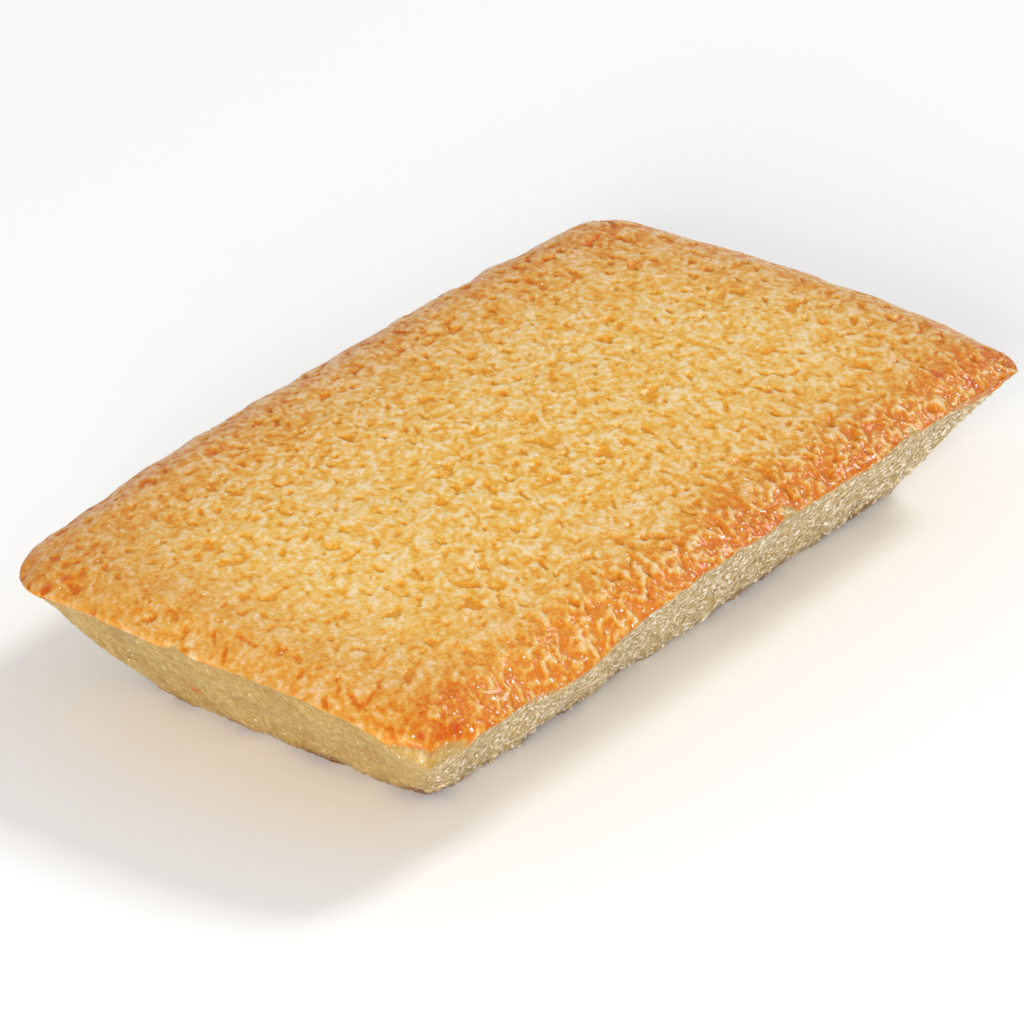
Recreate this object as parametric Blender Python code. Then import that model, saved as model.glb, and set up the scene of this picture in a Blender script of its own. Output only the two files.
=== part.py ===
"""A financier: a small rectangular almond cake, turned out of the flared tin that it was baked in.

It is one solid of one crumb. The flat underside and the sloping walls took the shape of the tin.
The top rose freely: it has a soft shoulder all round, a low crown, a browned edge that stands a
little proud of the walls, and a pebbled, pitted crust.

Metres, +Z up. The long side runs along X. The origin lies in the plane of the flat underside,
below the middle of the crust's outline.
"""

import itertools
import math

import bmesh
import bpy
from mathutils import Vector, noise

MM = 0.001

# The crust's outline, at the widest line of the cake.
RIM_LENGTH = 95.0 * MM
RIM_WIDTH = 53.4 * MM
BOW = 1.0 * MM  # how far each side swells past a straight line between its corners
RIM_HEIGHT = 13.6 * MM  # from the underside to the crust's edge, halfway along a side

# The four corners baked unevenly. Each key is the corner's side in X and in Y.
CORNER_RADIUS = {(-1, -1): 2.6 * MM, (1, -1): 2.4 * MM, (1, 1): 4.8 * MM, (-1, 1): 7.2 * MM}
CORNER_DROP = {(-1, -1): 2.8 * MM, (1, -1): 1.6 * MM, (1, 1): 0.2 * MM, (-1, 1): 1.4 * MM}
DROP_POWER = 3  # a higher power keeps the drop nearer to the corner
FRONT_SAG, SAG_MIDDLE, SAG_REACH = 1.6 * MM, -26.0 * MM, 9.5 * MM
SAG_POWER = 7  # a high power keeps the sag close to the front edge

# The underside, and the walls that flare from it.
BASE_LENGTH = 74.4 * MM
BASE_WIDTH = 34.0 * MM
BASE_CORNER_RADIUS = 3.9 * MM
BASE_SHIFT = Vector((0.45 * MM, -0.75 * MM))  # the underside isn't quite centred under the crust
BASE_ROUNDING = 0.8 * MM  # the height of the round between underside and wall
BASE_ROUNDING_INSET = 0.65 * MM

# The crust: its shoulder, its crown and its edge.
SHOULDER_WIDTH = 4.5 * MM
SHOULDER_RISE = 1.3 * MM
CROWN_RISE = 1.4 * MM
CROWN_POWER = 2.5
LIP = 0.6 * MM  # how far the crust's edge stands out from the wall below it
LIP_DEPTH = 1.3 * MM

# The relief of the crust: slow swells, pebbles of crumb, and open pits where bubbles broke.
SWELL_SIZE, SWELL_HEIGHT = 16.0 * MM, 0.3 * MM
PEBBLE_SIZE, PEBBLE_HEIGHT = 3.4 * MM, 0.42 * MM
PIT_SPACING, PIT_RADIUS, PIT_DEPTH = 4.6 * MM, 1.9 * MM, 0.7 * MM
PIT_SHARE = 0.6  # the top is divided into squares of the pits' spacing, and this share hold a pit
EDGE_RELIEF = 0.25  # the share of the relief that is left at the crust's edge
RELIEF_REACH = 3.2 * MM  # how far in from the edge the relief has its whole height

# The unevenness of the crust's edge and of the walls.
RAGGED_SIZE, RAGGED_DEPTH = 3.6 * MM, 0.3 * MM

# How finely the solid is divided.
CELLS_LONG, CELLS_WIDE = 79, 45
LIP_ROWS, WALL_ROWS, BASE_ROWS = 2, 5, 2
EDGE_FIT_POWER = 8  # only cells near the edge bend to the outline's bows and round corners


def smooth(t):
    """A smooth step from 0 to 1 as t goes from 0 to 1."""
    t = min(max(t, 0.0), 1.0)
    return t * t * (3.0 - 2.0 * t)


def side_of(value):
    return 1 if value >= 0 else -1


def outline(u, v, length, width, radius, bow):
    """The point of a bowed rectangle with round corners that belongs to a place on a plain square.

    (u, v) lies on the edge of the square from -1 to 1.
    """
    on_long_side = abs(v) >= abs(u)
    share, across = (u, v) if on_long_side else (v, u)
    half_run, half_span = (length / 2, width / 2) if on_long_side else (width / 2, length / 2)
    half_run -= bow
    half_span -= bow
    straight = half_run - radius
    run = abs(share) * half_run
    if run <= straight:
        along = run
        out = half_span + bow * (1.0 - (run / straight) ** 2)
    else:
        angle = math.radians(45) * (run - straight) / radius
        along = straight + radius * math.sin(angle)
        out = half_span - radius + radius * math.cos(angle)
    along *= side_of(share)
    out *= side_of(across)
    return Vector((along, out)) if on_long_side else Vector((out, along))


def rim_point(u, v):
    """Where the crust's edge runs, seen from above."""
    radius = CORNER_RADIUS[side_of(u), side_of(v)]
    return outline(u, v, RIM_LENGTH, RIM_WIDTH, radius, BOW)


def base_point(u, v, inset=0.0):
    """Where the edge of the underside runs, seen from above."""
    length, width = BASE_LENGTH - 2 * inset, BASE_WIDTH - 2 * inset
    return outline(u, v, length, width, BASE_CORNER_RADIUS - inset, 0.0) + BASE_SHIFT


def rim_height(u, v):
    """The height of the crust's edge, which sags towards each corner and in one front stretch."""
    nearness = (abs(u) * abs(v)) ** DROP_POWER
    along = (u * RIM_LENGTH / 2 - SAG_MIDDLE) / SAG_REACH
    sag = FRONT_SAG * math.exp(-(along**2)) * max(-v, 0) ** SAG_POWER
    return RIM_HEIGHT - nearness * CORNER_DROP[side_of(u), side_of(v)] - sag


def roughened(flat, height):
    """A place on the outside of the cake, pushed in or out by the unevenness of the crumb."""
    push = RAGGED_DEPTH * noise.noise(Vector((*flat, height)) / RAGGED_SIZE)
    return Vector((*(flat + flat.normalized() * push), height))


def pit_depth(x, y):
    """How far the open pits lower the crust at a place. Each pit lies in a square of its own."""
    here = Vector((x, y))
    home_x, home_y = math.floor(x / PIT_SPACING), math.floor(y / PIT_SPACING)
    deepest = 0.0
    for step_x, step_y in itertools.product((-1, 0, 1), repeat=2):
        corner = Vector((home_x + step_x, home_y + step_y))
        draw = noise.cell_vector((corner.x + 0.5, corner.y + 0.5, 0.5))
        if draw.z < PIT_SHARE:
            reach = (here - (corner + draw.xy) * PIT_SPACING).length / PIT_RADIUS
            deepest = max(deepest, PIT_DEPTH * (1.0 - smooth(reach)))
    return deepest


def crumb_relief(x, y):
    """The height that swells, pebbles and pits add to the smooth crust at a place."""
    swell = SWELL_HEIGHT * noise.noise(Vector((x, y, 0.0)) / SWELL_SIZE)
    distances = noise.voronoi(Vector((x, y, PEBBLE_SIZE)) / PEBBLE_SIZE)[0]
    pebble = PEBBLE_HEIGHT * (0.5 - distances[0])
    return swell + pebble - pit_depth(x, y)


def shoulder_curve(from_edge):
    """The share of the shoulder's rise that is reached at a distance from the edge."""
    return 1.0 - (1.0 - min(from_edge / SHOULDER_WIDTH, 1.0)) ** 2


def plan_of(u, v):
    """Where a place on the plain square from -1 to 1 lies on the cake, seen from above."""
    half_size = Vector((RIM_LENGTH / 2 - BOW, RIM_WIDTH / 2 - BOW))
    plain = Vector((u, v)) * half_size
    ring = max(abs(u), abs(v))
    if ring == 0:
        return plain
    edge = Vector((u, v)) / ring
    return plain + (rim_point(*edge) - edge * half_size) * ring**EDGE_FIT_POWER


def crust_point(u, v):
    """The place on top of the cake that belongs to (u, v) on the plain square."""
    flat = plan_of(u, v)
    from_end, from_side = (1 - abs(u)) * RIM_LENGTH / 2, (1 - abs(v)) * RIM_WIDTH / 2
    from_edge = min(from_end, from_side)
    if from_edge == 0:
        return roughened(flat, rim_height(u, v))
    shoulder = SHOULDER_RISE * shoulder_curve(from_end) * shoulder_curve(from_side)
    crown = CROWN_RISE * (1.0 - abs(u) ** CROWN_POWER) * (1.0 - abs(v) ** CROWN_POWER)
    strength = EDGE_RELIEF + (1.0 - EDGE_RELIEF) * smooth(from_edge / RELIEF_REACH)
    return Vector((*flat, rim_height(u, v) + shoulder + crown + strength * crumb_relief(*flat)))


def wall_levels():
    """The rows of the wall, from the crust's edge down.

    Each is the share of the way down, and how far the row is drawn in from a straight wall.
    """
    levels = []
    for step in range(1, LIP_ROWS + 1):
        turn = math.radians(90) * step / LIP_ROWS
        levels.append((LIP_DEPTH / RIM_HEIGHT * math.sin(turn), LIP * (1.0 - math.cos(turn))))
    top = levels[-1][0]
    bottom = 1.0 - BASE_ROUNDING / RIM_HEIGHT
    for step in range(1, WALL_ROWS + 1):
        share = step / WALL_ROWS
        levels.append((top + (bottom - top) * share, LIP * (1.0 - share)))
    return levels


def wall_point(u, v, down, drawn_in):
    """A place on the wall between the crust's edge and the underside's edge."""
    flat = rim_point(u, v).lerp(base_point(u, v), down)
    flat -= flat.normalized() * drawn_in
    return roughened(flat, rim_height(u, v) * (1.0 - down))


def base_edge_point(u, v, turn):
    """A place on the round between wall and underside, where turn goes from 0 to a right angle."""
    flat = base_point(u, v, BASE_ROUNDING_INSET * (1.0 - math.cos(turn)))
    return roughened(flat, BASE_ROUNDING * (1.0 - math.sin(turn)))


def extrude_row(bm, ring):
    """Extrudes a ring of open edges and returns the new ring."""
    made = bmesh.ops.extrude_edge_only(bm, edges=ring)["geom"]
    return [item for item in made if isinstance(item, bmesh.types.BMEdge)]


def build_cake():
    """The cake as one closed mesh: a grid for the crust, extruded down ring by ring and filled."""
    bm = bmesh.new()
    bmesh.ops.create_grid(bm, x_segments=CELLS_LONG, y_segments=CELLS_WIDE, size=1.0)
    square = bm.verts.layers.float_vector.new("square")
    for vertex in bm.verts:
        vertex[square] = vertex.co

    ring = [edge for edge in bm.edges if edge.is_boundary]
    row_of = {}
    for row in range(LIP_ROWS + WALL_ROWS + BASE_ROWS):
        ring = extrude_row(bm, ring)
        row_of.update((vertex, row) for edge in ring for vertex in edge.verts)
    bmesh.ops.holes_fill(bm, edges=ring)

    levels = wall_levels()
    for vertex in bm.verts:
        u, v, _ = vertex[square]
        row = row_of.get(vertex)
        if row is None:
            vertex.co = crust_point(u, v)
        elif row < len(levels):
            vertex.co = wall_point(u, v, *levels[row])
        else:
            turn = math.radians(90) * (row - len(levels) + 1) / BASE_ROWS
            vertex.co = base_edge_point(u, v, turn)

    centre_over_origin(bm)
    bmesh.ops.recalc_face_normals(bm, faces=bm.faces)
    bmesh.ops.triangulate(bm, faces=bm.faces)
    mesh = bpy.data.meshes.new("financier_cake")
    bm.to_mesh(mesh)
    bm.free()
    return mesh


def centre_over_origin(bm):
    """Slides the cake so that the middle of its outline stands over the origin."""
    for axis in (0, 1):
        places = [vertex.co[axis] for vertex in bm.verts]
        middle = (min(places) + max(places)) / 2
        for vertex in bm.verts:
            vertex.co[axis] -= middle


def baked_sponge():
    """Golden almond sponge with a matt, slightly buttery crust."""
    material = bpy.data.materials.new("baked_almond_sponge")
    material.use_nodes = True
    shader = material.node_tree.nodes["Principled BSDF"]
    shader.inputs["Base Color"].default_value = (0.78, 0.45, 0.14, 1.0)
    shader.inputs["Roughness"].default_value = 0.55
    shader.inputs["Metallic"].default_value = 0.0
    return material


def main():
    for obj in list(bpy.data.objects):
        bpy.data.objects.remove(obj)
    mesh = build_cake()
    mesh.shade_smooth()
    mesh.materials.append(baked_sponge())
    cake = bpy.data.objects.new("financier_cake", mesh)
    bpy.context.scene.collection.objects.link(cake)


main()
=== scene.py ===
# %% [markdown]
# # A financier, turned out of its tin
#
# The object is one small almond cake. Its solid is already modelled: a flared block with a low
# crown, 95 mm long. This script keeps that form and gives it the fine surface of a real cake: a
# pebbled, pitted, buttery crust, and pale crumb where the batter lay against the tin.
#
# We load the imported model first. Every size below is worked out from its box.

import bpy
import numpy as np
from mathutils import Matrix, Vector, noise


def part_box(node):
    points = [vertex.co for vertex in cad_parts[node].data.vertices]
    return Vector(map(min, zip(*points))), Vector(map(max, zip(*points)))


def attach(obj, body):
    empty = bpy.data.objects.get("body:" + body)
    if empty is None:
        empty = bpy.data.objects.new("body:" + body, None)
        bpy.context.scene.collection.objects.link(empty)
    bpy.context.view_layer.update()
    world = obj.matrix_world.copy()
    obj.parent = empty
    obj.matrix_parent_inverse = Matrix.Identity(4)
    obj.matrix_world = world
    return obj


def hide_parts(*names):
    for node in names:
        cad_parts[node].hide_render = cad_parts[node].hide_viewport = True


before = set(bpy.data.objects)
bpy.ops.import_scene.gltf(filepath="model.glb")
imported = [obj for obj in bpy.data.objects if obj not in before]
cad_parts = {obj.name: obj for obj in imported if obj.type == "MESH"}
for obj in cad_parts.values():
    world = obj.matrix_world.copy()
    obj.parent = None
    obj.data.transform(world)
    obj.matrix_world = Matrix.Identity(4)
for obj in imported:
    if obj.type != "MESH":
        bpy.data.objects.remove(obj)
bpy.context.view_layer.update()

MM = 0.001
low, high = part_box("financier_cake")
size = high - low
print("the cake measures", [round(side / MM, 1) for side in size], "mm")

# %% [markdown]
# ## The outline
#
# Seen from above, the cake is a rectangle whose sides swell a little, with a different round at
# each corner, because batter never fills a tin evenly. The same outline is needed for the crust's
# edge and, smaller and without the swell, for the underside.
#
# We could draw a curve and extrude it. Here the whole surface starts as a plain square grid
# instead, with coordinates from -1 to 1. One function then says where each point of the square's
# edge goes. That keeps the grid's rows in step all the way from the crown to the underside, so no
# row has to be stitched to another.

# %% Sizes of the outline
ROUGHNESS_ROOM = 0.15 * MM  # the crumb reaches this far past the smooth outline
RIM_LENGTH, RIM_WIDTH = size.x - ROUGHNESS_ROOM, size.y - ROUGHNESS_ROOM
BOW = 1.0 * MM
RIM_HEIGHT = 13.6 * MM
CORNERS = np.array([(-1, -1), (1, -1), (1, 1), (-1, 1)])  # front left, then round the cake
CORNER_RADIUS = np.array([2.6, 2.4, 4.8, 7.2]) * MM
CORNER_DROP = np.array([2.8, 1.6, 0.2, 1.4]) * MM
FRONT_SAG, SAG_MIDDLE, SAG_REACH = 1.6 * MM, -26 * MM, 9.5 * MM

BASE_LENGTH, BASE_WIDTH = 74.4 * MM, 34.0 * MM
BASE_CORNER_RADIUS = 3.9 * MM
BASE_SHIFT = np.array([0.45, -0.75]) * MM  # the underside isn't quite under the crust's middle
print(f"the walls lean out by {(RIM_LENGTH - BASE_LENGTH) / 2 / MM:.1f} mm at the short sides")


# %% Where the square's edge goes
def by_corner(square, values):
    """Picks for each point the value that belongs to its corner of the cake."""
    right, back = square[:, 0] >= 0, square[:, 1] >= 0
    return np.select([~right & ~back, right & ~back, right & back], values[:3], values[3])


def outline(square, length, width, radius, bow):
    """Maps points on the edge of the square to a bowed rectangle with round corners."""
    u, v = square.T
    on_long_side = np.abs(v) >= np.abs(u)
    share, across = np.where(on_long_side, (u, v), (v, u))
    half_run = np.where(on_long_side, length, width) / 2 - bow
    half_span = np.where(on_long_side, width, length) / 2 - bow
    straight = half_run - radius
    run = np.abs(share) * half_run
    turn = np.radians(45) * np.clip((run - straight) / radius, 0, 1)
    along = np.minimum(run, straight) + radius * np.sin(turn)
    swell = bow * (1 - np.minimum(run / straight, 1) ** 2)
    out = half_span + swell - radius * (1 - np.cos(turn))
    along, out = along * np.sign(share), out * np.sign(across)
    return np.column_stack(np.where(on_long_side, (along, out), (out, along)))


def rim_plan(square):
    return outline(square, RIM_LENGTH, RIM_WIDTH, by_corner(square, CORNER_RADIUS), BOW)


def base_plan(square, inset=0.0):
    length, width = BASE_LENGTH - 2 * inset, BASE_WIDTH - 2 * inset
    return outline(square, length, width, BASE_CORNER_RADIUS - inset, 0.0) + BASE_SHIFT


def bell(value, middle, half_width):
    return np.exp(-(((value - middle) / half_width) ** 2))


def rim_height(square):
    """The crust's edge sags towards each corner, and in one stretch of the front."""
    nearness = np.prod(np.abs(square), axis=1) ** 3
    along = square[:, 0] * RIM_LENGTH / 2
    sag = FRONT_SAG * bell(along, SAG_MIDDLE, SAG_REACH) * np.maximum(-square[:, 1], 0) ** 7
    return RIM_HEIGHT - nearness * by_corner(square, CORNER_DROP) - sag


print("the crust's edge at the corners is", (rim_height(CORNERS) / MM).round(1), "mm up")

# %% [markdown]
# ## The smooth cake
#
# Before any crumb is added we make the smooth form: crown and shoulder on top, then rows that
# turn under the crust's edge, run down the sloping wall, round the bottom edge and close over
# the underside. The rows are about a quarter of a millimetre apart, because the smallest pebbles
# of the crust are under a millimetre wide.

# %% The top
CELLS_LONG, CELLS_WIDE = 380, 214
SHOULDER_WIDTH, SHOULDER_RISE = 4.5 * MM, 1.3 * MM
CROWN_RISE, CROWN_POWER = 1.4 * MM, 2.5
EDGE_FIT_POWER = 8  # only cells near the edge bend to the outline


def grid_numbers():
    """The numbers of the top's points, with one row of the table for each column of points."""
    return np.arange((CELLS_LONG + 1) * (CELLS_WIDE + 1)).reshape(CELLS_LONG + 1, -1)


def top_square():
    """The square's points, column by column."""
    u, v = np.meshgrid(
        np.linspace(-1, 1, CELLS_LONG + 1), np.linspace(-1, 1, CELLS_WIDE + 1), indexing="ij"
    )
    return np.column_stack([u.ravel(), v.ravel()])


def shoulder_curve(from_edge):
    return 1 - (1 - np.minimum(from_edge / SHOULDER_WIDTH, 1)) ** 2


def smooth_top(square):
    half_size = np.array([RIM_LENGTH, RIM_WIDTH]) / 2 - BOW
    ring = np.maximum(np.abs(square).max(axis=1, keepdims=True), 1e-9)
    edge = square / ring
    plan = square * half_size + (rim_plan(edge) - edge * half_size) * ring**EDGE_FIT_POWER
    from_edge = (1 - np.abs(square)) * np.array([RIM_LENGTH, RIM_WIDTH]) / 2
    shoulder = SHOULDER_RISE * np.prod(shoulder_curve(from_edge), axis=1)
    crown = CROWN_RISE * np.prod(1 - np.abs(square) ** CROWN_POWER, axis=1)
    return np.column_stack([plan, rim_height(square) + shoulder + crown])


square = top_square()
top = smooth_top(square)
print(f"the top has {len(top)} points, {RIM_LENGTH / CELLS_LONG / MM:.2f} mm apart")

# %% [markdown]
# ## Where the brown skin ends
#
# The brown skin of the crust doesn't stop neatly at the rim. In most places it curls a little way
# over the edge, at the front it has run further down, and here and there a nick is bare. At the
# front left corner it broke away and shows the pale crumb. One function gives how far down the
# skin reaches, and the lip's shape, the relief and the colours all follow it.

# %% The skin's reach
SKIN_REACH = 0.9 * MM
REACH_WAVES = [(7, 0.55), (1.9, 0.30)]  # size and height in mm
RIM_ZONE = 2 * MM, 4 * MM  # a mark belongs to the rim, and fades out between these
# Each mark: its middle, half width and change of reach in mm. Runs add and nicks take away.
FRONT_MARKS = [(-26, 10, 0.5), (39, 6, 0.8), (-25.5, 1.0, -1.3), (6, 1.3, -1.7), (26.5, 1.2, -1.4)]
LEFT_MARKS = [(2.5, 1.2, -1.2)]
BARE_LEFT, BARE_LEFT_LENGTH = 3.8 * MM, 7.4 * MM
BARE_FRONT, BARE_FRONT_LENGTH = 3.6 * MM, 8.0 * MM


def sample(field, places, grain):
    """The value of a noise field at each place, for a pattern whose cells measure one grain."""
    return np.array([field(place) for place in (places / grain).tolist()])


def smooth_step(value, start, end):
    share = np.clip((value - start) / (end - start), 0, 1)
    return share * share * (3 - 2 * share)


def from_sides(places):
    """How far each place lies inside the left, front, right and back sides of the rim."""
    x, y = places[:, 0], places[:, 1]
    bowed_x = RIM_LENGTH / 2 - BOW * (2 * y / RIM_WIDTH) ** 2
    bowed_y = RIM_WIDTH / 2 - BOW * (2 * x / RIM_LENGTH) ** 2
    return x + bowed_x, y + bowed_y, bowed_x - x, bowed_y - y


def skin_reach(places):
    """How far below the rim the brown skin ends, at the part of the rim next to each place."""
    x, y = places[:, 0] / MM, places[:, 1] / MM
    flat = places * (1, 1, 0)
    reach = np.full(len(places), SKIN_REACH)
    for grain, height in REACH_WAVES:
        reach += height * MM * sample(noise.noise, flat, grain * MM)
    at_left, at_front = (1 - smooth_step(inside, *RIM_ZONE) for inside in from_sides(places)[:2])
    for middle, half_width, change in FRONT_MARKS:
        reach += at_front * change * MM * bell(x, middle, half_width)
    for middle, half_width, change in LEFT_MARKS:
        reach += at_left * change * MM * bell(y, middle, half_width)
    return reach


def bare_corner(places):
    """How far a place lies outside the skin's broken edge at the front left corner."""
    from_left, from_front = places[:, 0] + RIM_LENGTH / 2, places[:, 1] + RIM_WIDTH / 2
    left = BARE_LEFT * (1 - from_front / BARE_LEFT_LENGTH) - from_left
    front = BARE_FRONT * (1 - from_left / BARE_FRONT_LENGTH) - from_front
    return np.maximum(left, front)


print(f"the brown skin ends {skin_reach(top).mean() / MM:.2f} mm below the rim on the mean")

# %% [markdown]
# ## The rows below the crust's edge
#
# The crust hangs over the wall in a thin, uneven lip, as it does where batter rose above the tin.
# We could cut that lip with a boolean, but it would leave ragged faces. Each row of points is
# placed by sine and cosine instead: a quarter turn under the edge, the straight wall, a quarter
# turn round the bottom edge, and then rows that shrink over the underside.

# %% Rows of the lip and the wall
LIP_ROWS, WALL_ROWS, ROUND_ROWS, UNDERSIDE_ROWS = 8, 50, 4, 12
LIP_LEAST, LIP_MOST = 0.10 * MM, 0.50 * MM
LIP_DEPTH_LEAST, LIP_DEPTH_MOST = 0.35 * MM, 1.5 * MM
LIP_WAVE_SIZE, LIP_WAVE_SHARE = 5 * MM, 0.9
LIP_FADE = 0.8 * MM  # the lip thins out over this much before the bare corner


def ring_numbers():
    """The numbers of the top's outermost points, in order round the cake."""
    number = grid_numbers()
    front, right = number[:-1, 0], number[-1, :-1]
    back, left = number[:0:-1, -1], number[0, :0:-1]
    return np.concatenate([front, right, back, left])


def wall_row(edge, down, drawn_in):
    """One row of the wall, a share of the way down and drawn in from the straight wall."""
    down, drawn_in = np.broadcast_to(down, len(edge)), np.broadcast_to(drawn_in, len(edge))
    plan = rim_plan(edge) * (1 - down[:, None]) + base_plan(edge) * down[:, None]
    outward = plan / np.linalg.norm(plan, axis=1, keepdims=True)
    plan = plan - outward * drawn_in[:, None]
    return np.column_stack([plan, rim_height(edge) * (1 - down)])


def lip_rows(edge, lip, lip_depth):
    """A quarter turn under the crust's edge."""
    turns = np.radians(90) * np.arange(1, LIP_ROWS + 1) / LIP_ROWS
    downs = [lip_depth / RIM_HEIGHT * np.sin(turn) for turn in turns]
    return [wall_row(edge, down, lip * (1 - np.cos(t))) for down, t in zip(downs, turns)]


def straight_rows(edge, lip, start, end):
    """The wall, from one share of the way down to another."""
    shares = np.arange(1, WALL_ROWS + 1) / WALL_ROWS
    return [wall_row(edge, start + (end - start) * s, lip * (1 - s)) for s in shares]


ring = ring_numbers()
print(f"each row has {len(ring)} points")

# %% Rows of the bottom edge and the underside
BASE_ROUNDING, BASE_ROUNDING_INSET = 0.8 * MM, 0.65 * MM
UNDERSIDE_REACH = 0.86  # the last row's inset, as a share of half the underside's width


def rounded_rows(edge):
    """A quarter turn round the bottom edge."""
    rows = []
    for turn in np.radians(90) * np.arange(1, ROUND_ROWS + 1) / ROUND_ROWS:
        plan = base_plan(edge, BASE_ROUNDING_INSET * (1 - np.cos(turn)))
        height = np.full(len(edge), BASE_ROUNDING * (1 - np.sin(turn)))
        rows.append(np.column_stack([plan, height]))
    return rows


def underside_rows(bottom_edge):
    """Ever smaller rows, flat on the ground, that end as a narrow strip in the middle."""
    last = bottom_edge[:, :2] - BASE_SHIFT
    shrink = np.array([1 - UNDERSIDE_REACH * BASE_WIDTH / BASE_LENGTH, 1 - UNDERSIDE_REACH])
    rows = []
    for share in np.arange(1, UNDERSIDE_ROWS + 1) / UNDERSIDE_ROWS:
        plan = last * (1 - share * (1 - shrink)) + BASE_SHIFT
        rows.append(np.column_stack([plan, np.zeros(len(plan))]))
    return rows


def smooth_rows(edge):
    """All rows from just under the crust's edge to the middle of the underside."""
    here = np.column_stack([rim_plan(edge), np.zeros(len(edge))])
    uneven = np.clip(0.5 + LIP_WAVE_SHARE * sample(noise.noise, here, LIP_WAVE_SIZE), 0, 1)
    covered = 1 - smooth_step(bare_corner(here), -LIP_FADE, 0)
    lip = (LIP_LEAST + (LIP_MOST - LIP_LEAST) * uneven) * covered
    lip_depth = np.clip(skin_reach(here) * covered, LIP_DEPTH_LEAST, LIP_DEPTH_MOST)
    start, end = lip_depth / RIM_HEIGHT, 1 - BASE_ROUNDING / RIM_HEIGHT
    rows = lip_rows(edge, lip, lip_depth) + straight_rows(edge, lip, start, end)
    rows += rounded_rows(edge)
    return rows + underside_rows(rows[-1])


rows = smooth_rows(square[ring])
smooth = np.vstack([top, *rows])
rim_above = np.vstack([top] + [top[ring]] * len(rows))  # for a wall's point, the rim over it
print(f"{len(rows)} rows of {len(ring)} points run from the crust's edge to the underside")


# %% Faces of the grid and of the rows
def grid_faces():
    number = grid_numbers()
    corners = number[:-1, :-1], number[1:, :-1], number[1:, 1:], number[:-1, 1:]
    return np.stack(corners, axis=-1).reshape(-1, 4)


def ring_at(row):
    """The numbers of the points in one of the rows."""
    return len(top) + len(ring) * row + np.arange(len(ring))


def band(above, below):
    """Faces between two rings of points."""
    return np.column_stack([above, below, np.roll(below, -1), np.roll(above, -1)])


def row_faces():
    """One list of faces for each row, with the crust's own edge as the row above the first."""
    rings = [ring] + [ring_at(row) for row in range(len(rows))]
    return [band(above, below) for above, below in zip(rings, rings[1:])]


top_faces = grid_faces()
faces_by_row = row_faces()
all_faces = np.vstack([top_faces, *faces_by_row])
print(len(all_faces), "four-sided faces")


# %% Which way is out
def outward(places, faces):
    """A unit normal at each point: the mean of the faces round it."""
    a, b, c, d = (places[faces[:, corner]] for corner in range(4))
    facing = np.cross(c - a, d - b)
    total = np.column_stack(
        [
            np.bincount(faces.ravel(), np.repeat(facing[:, axis], 4), minlength=len(places))
            for axis in range(3)
        ]
    )
    return total / np.maximum(np.linalg.norm(total, axis=1, keepdims=True), 1e-30)


normal = outward(smooth, all_faces)
print("the middle of the top faces", normal[len(top) // 2].round(2))

# %% [markdown]
# ## The crust's relief
#
# The real crust is a skin of almond and sugar, pebbled all over. Butter fries it, bubbles of
# steam stretch it, and the largest of them break and leave open pits. Along the front, where the
# oven was hottest, the bubbles stood so close that the skin is all small bowls. So the relief is
# built from what made it: slow swells, low mounds, pebbles and grains, then pits and bowls.
#
# We could leave this to a bump map, but then the cake's edge and the pits would look smooth from
# the side. Here everything over half a millimetre is real mesh. The patterns come from noise
# fields, which give a height for any place, so nothing has to be drawn by hand. The one that
# shifts places about starts at a random spot, so a seed makes the cake the same every time.


# %% Patterns that the relief is made of
ANOTHER_LAYER = np.array([0, 0, 40 * MM])  # far enough off that a noise repeats nothing
CREASE = 0.85  # how far from a dome's middle its crease lies, in grains
SEED = 7
noise.seed_set(SEED)  # without it, noise_vector starts from the clock


def cell_distance(place):
    """How far a place is from the middle of its nearest cell."""
    return noise.voronoi(place)[0][0]


def warped(places, grain, amount):
    """The places, shifted to and fro so that no pattern over them looks regular."""
    shift = np.array([noise.noise_vector(place) for place in (places / grain).tolist()])
    return places + shift * amount


def domes(places, grain):
    """Packed domes from 0 in the creases between them to 1 at their tops."""
    return 1 - np.clip(sample(cell_distance, places, grain) / CREASE, 0, 1) ** 2


def ragged_pits(places, grain, start, full):
    """From 0 to 1: ragged hollows, where a slow noise lies above its usual values."""
    return smooth_step(sample(noise.noise, places + ANOTHER_LAYER, grain), start, full)


few_places = top[::100]
usual = domes(few_places, MM).mean()
print(f"a field of domes is {usual:.2f} high on the mean, from 0 in the creases to 1")

# %% Swells, mounds and pebbles
SWELL_SIZE, SWELL_HEIGHT = 16 * MM, 0.30 * MM
MOUND_SIZE, MOUND_HEIGHT = 1.8 * MM, 0.13 * MM
PEBBLE_SIZE, PEBBLE_HEIGHT = 0.74 * MM, 0.105 * MM
GRAIN_SIZE, GRAIN_HEIGHT = 0.45 * MM, 0.07 * MM
DOME_SHARE = 0.4  # how much of a pebble is a round dome
DOME_MIDDLE = 0.6  # taken off a field of domes, so that it adds about as much as it takes
DRAWN_ALONG, DRAWN_OUT = 38, 1.3  # the pebbles are this much longer along these degrees
WARPS = [(2.4 * MM, 0.6 * MM), (0.9 * MM, 0.2 * MM)]  # size and amount


def drawn_out(places):
    """The places, squeezed one way and then shifted, so that patterns lie loosely over them."""
    along = np.array([np.cos(np.radians(DRAWN_ALONG)), np.sin(np.radians(DRAWN_ALONG)), 0])
    drawn = places - (1 - 1 / DRAWN_OUT) * np.outer(places @ along, along)
    for grain, amount in WARPS:
        drawn = warped(drawn, grain, amount)
    return drawn


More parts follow.
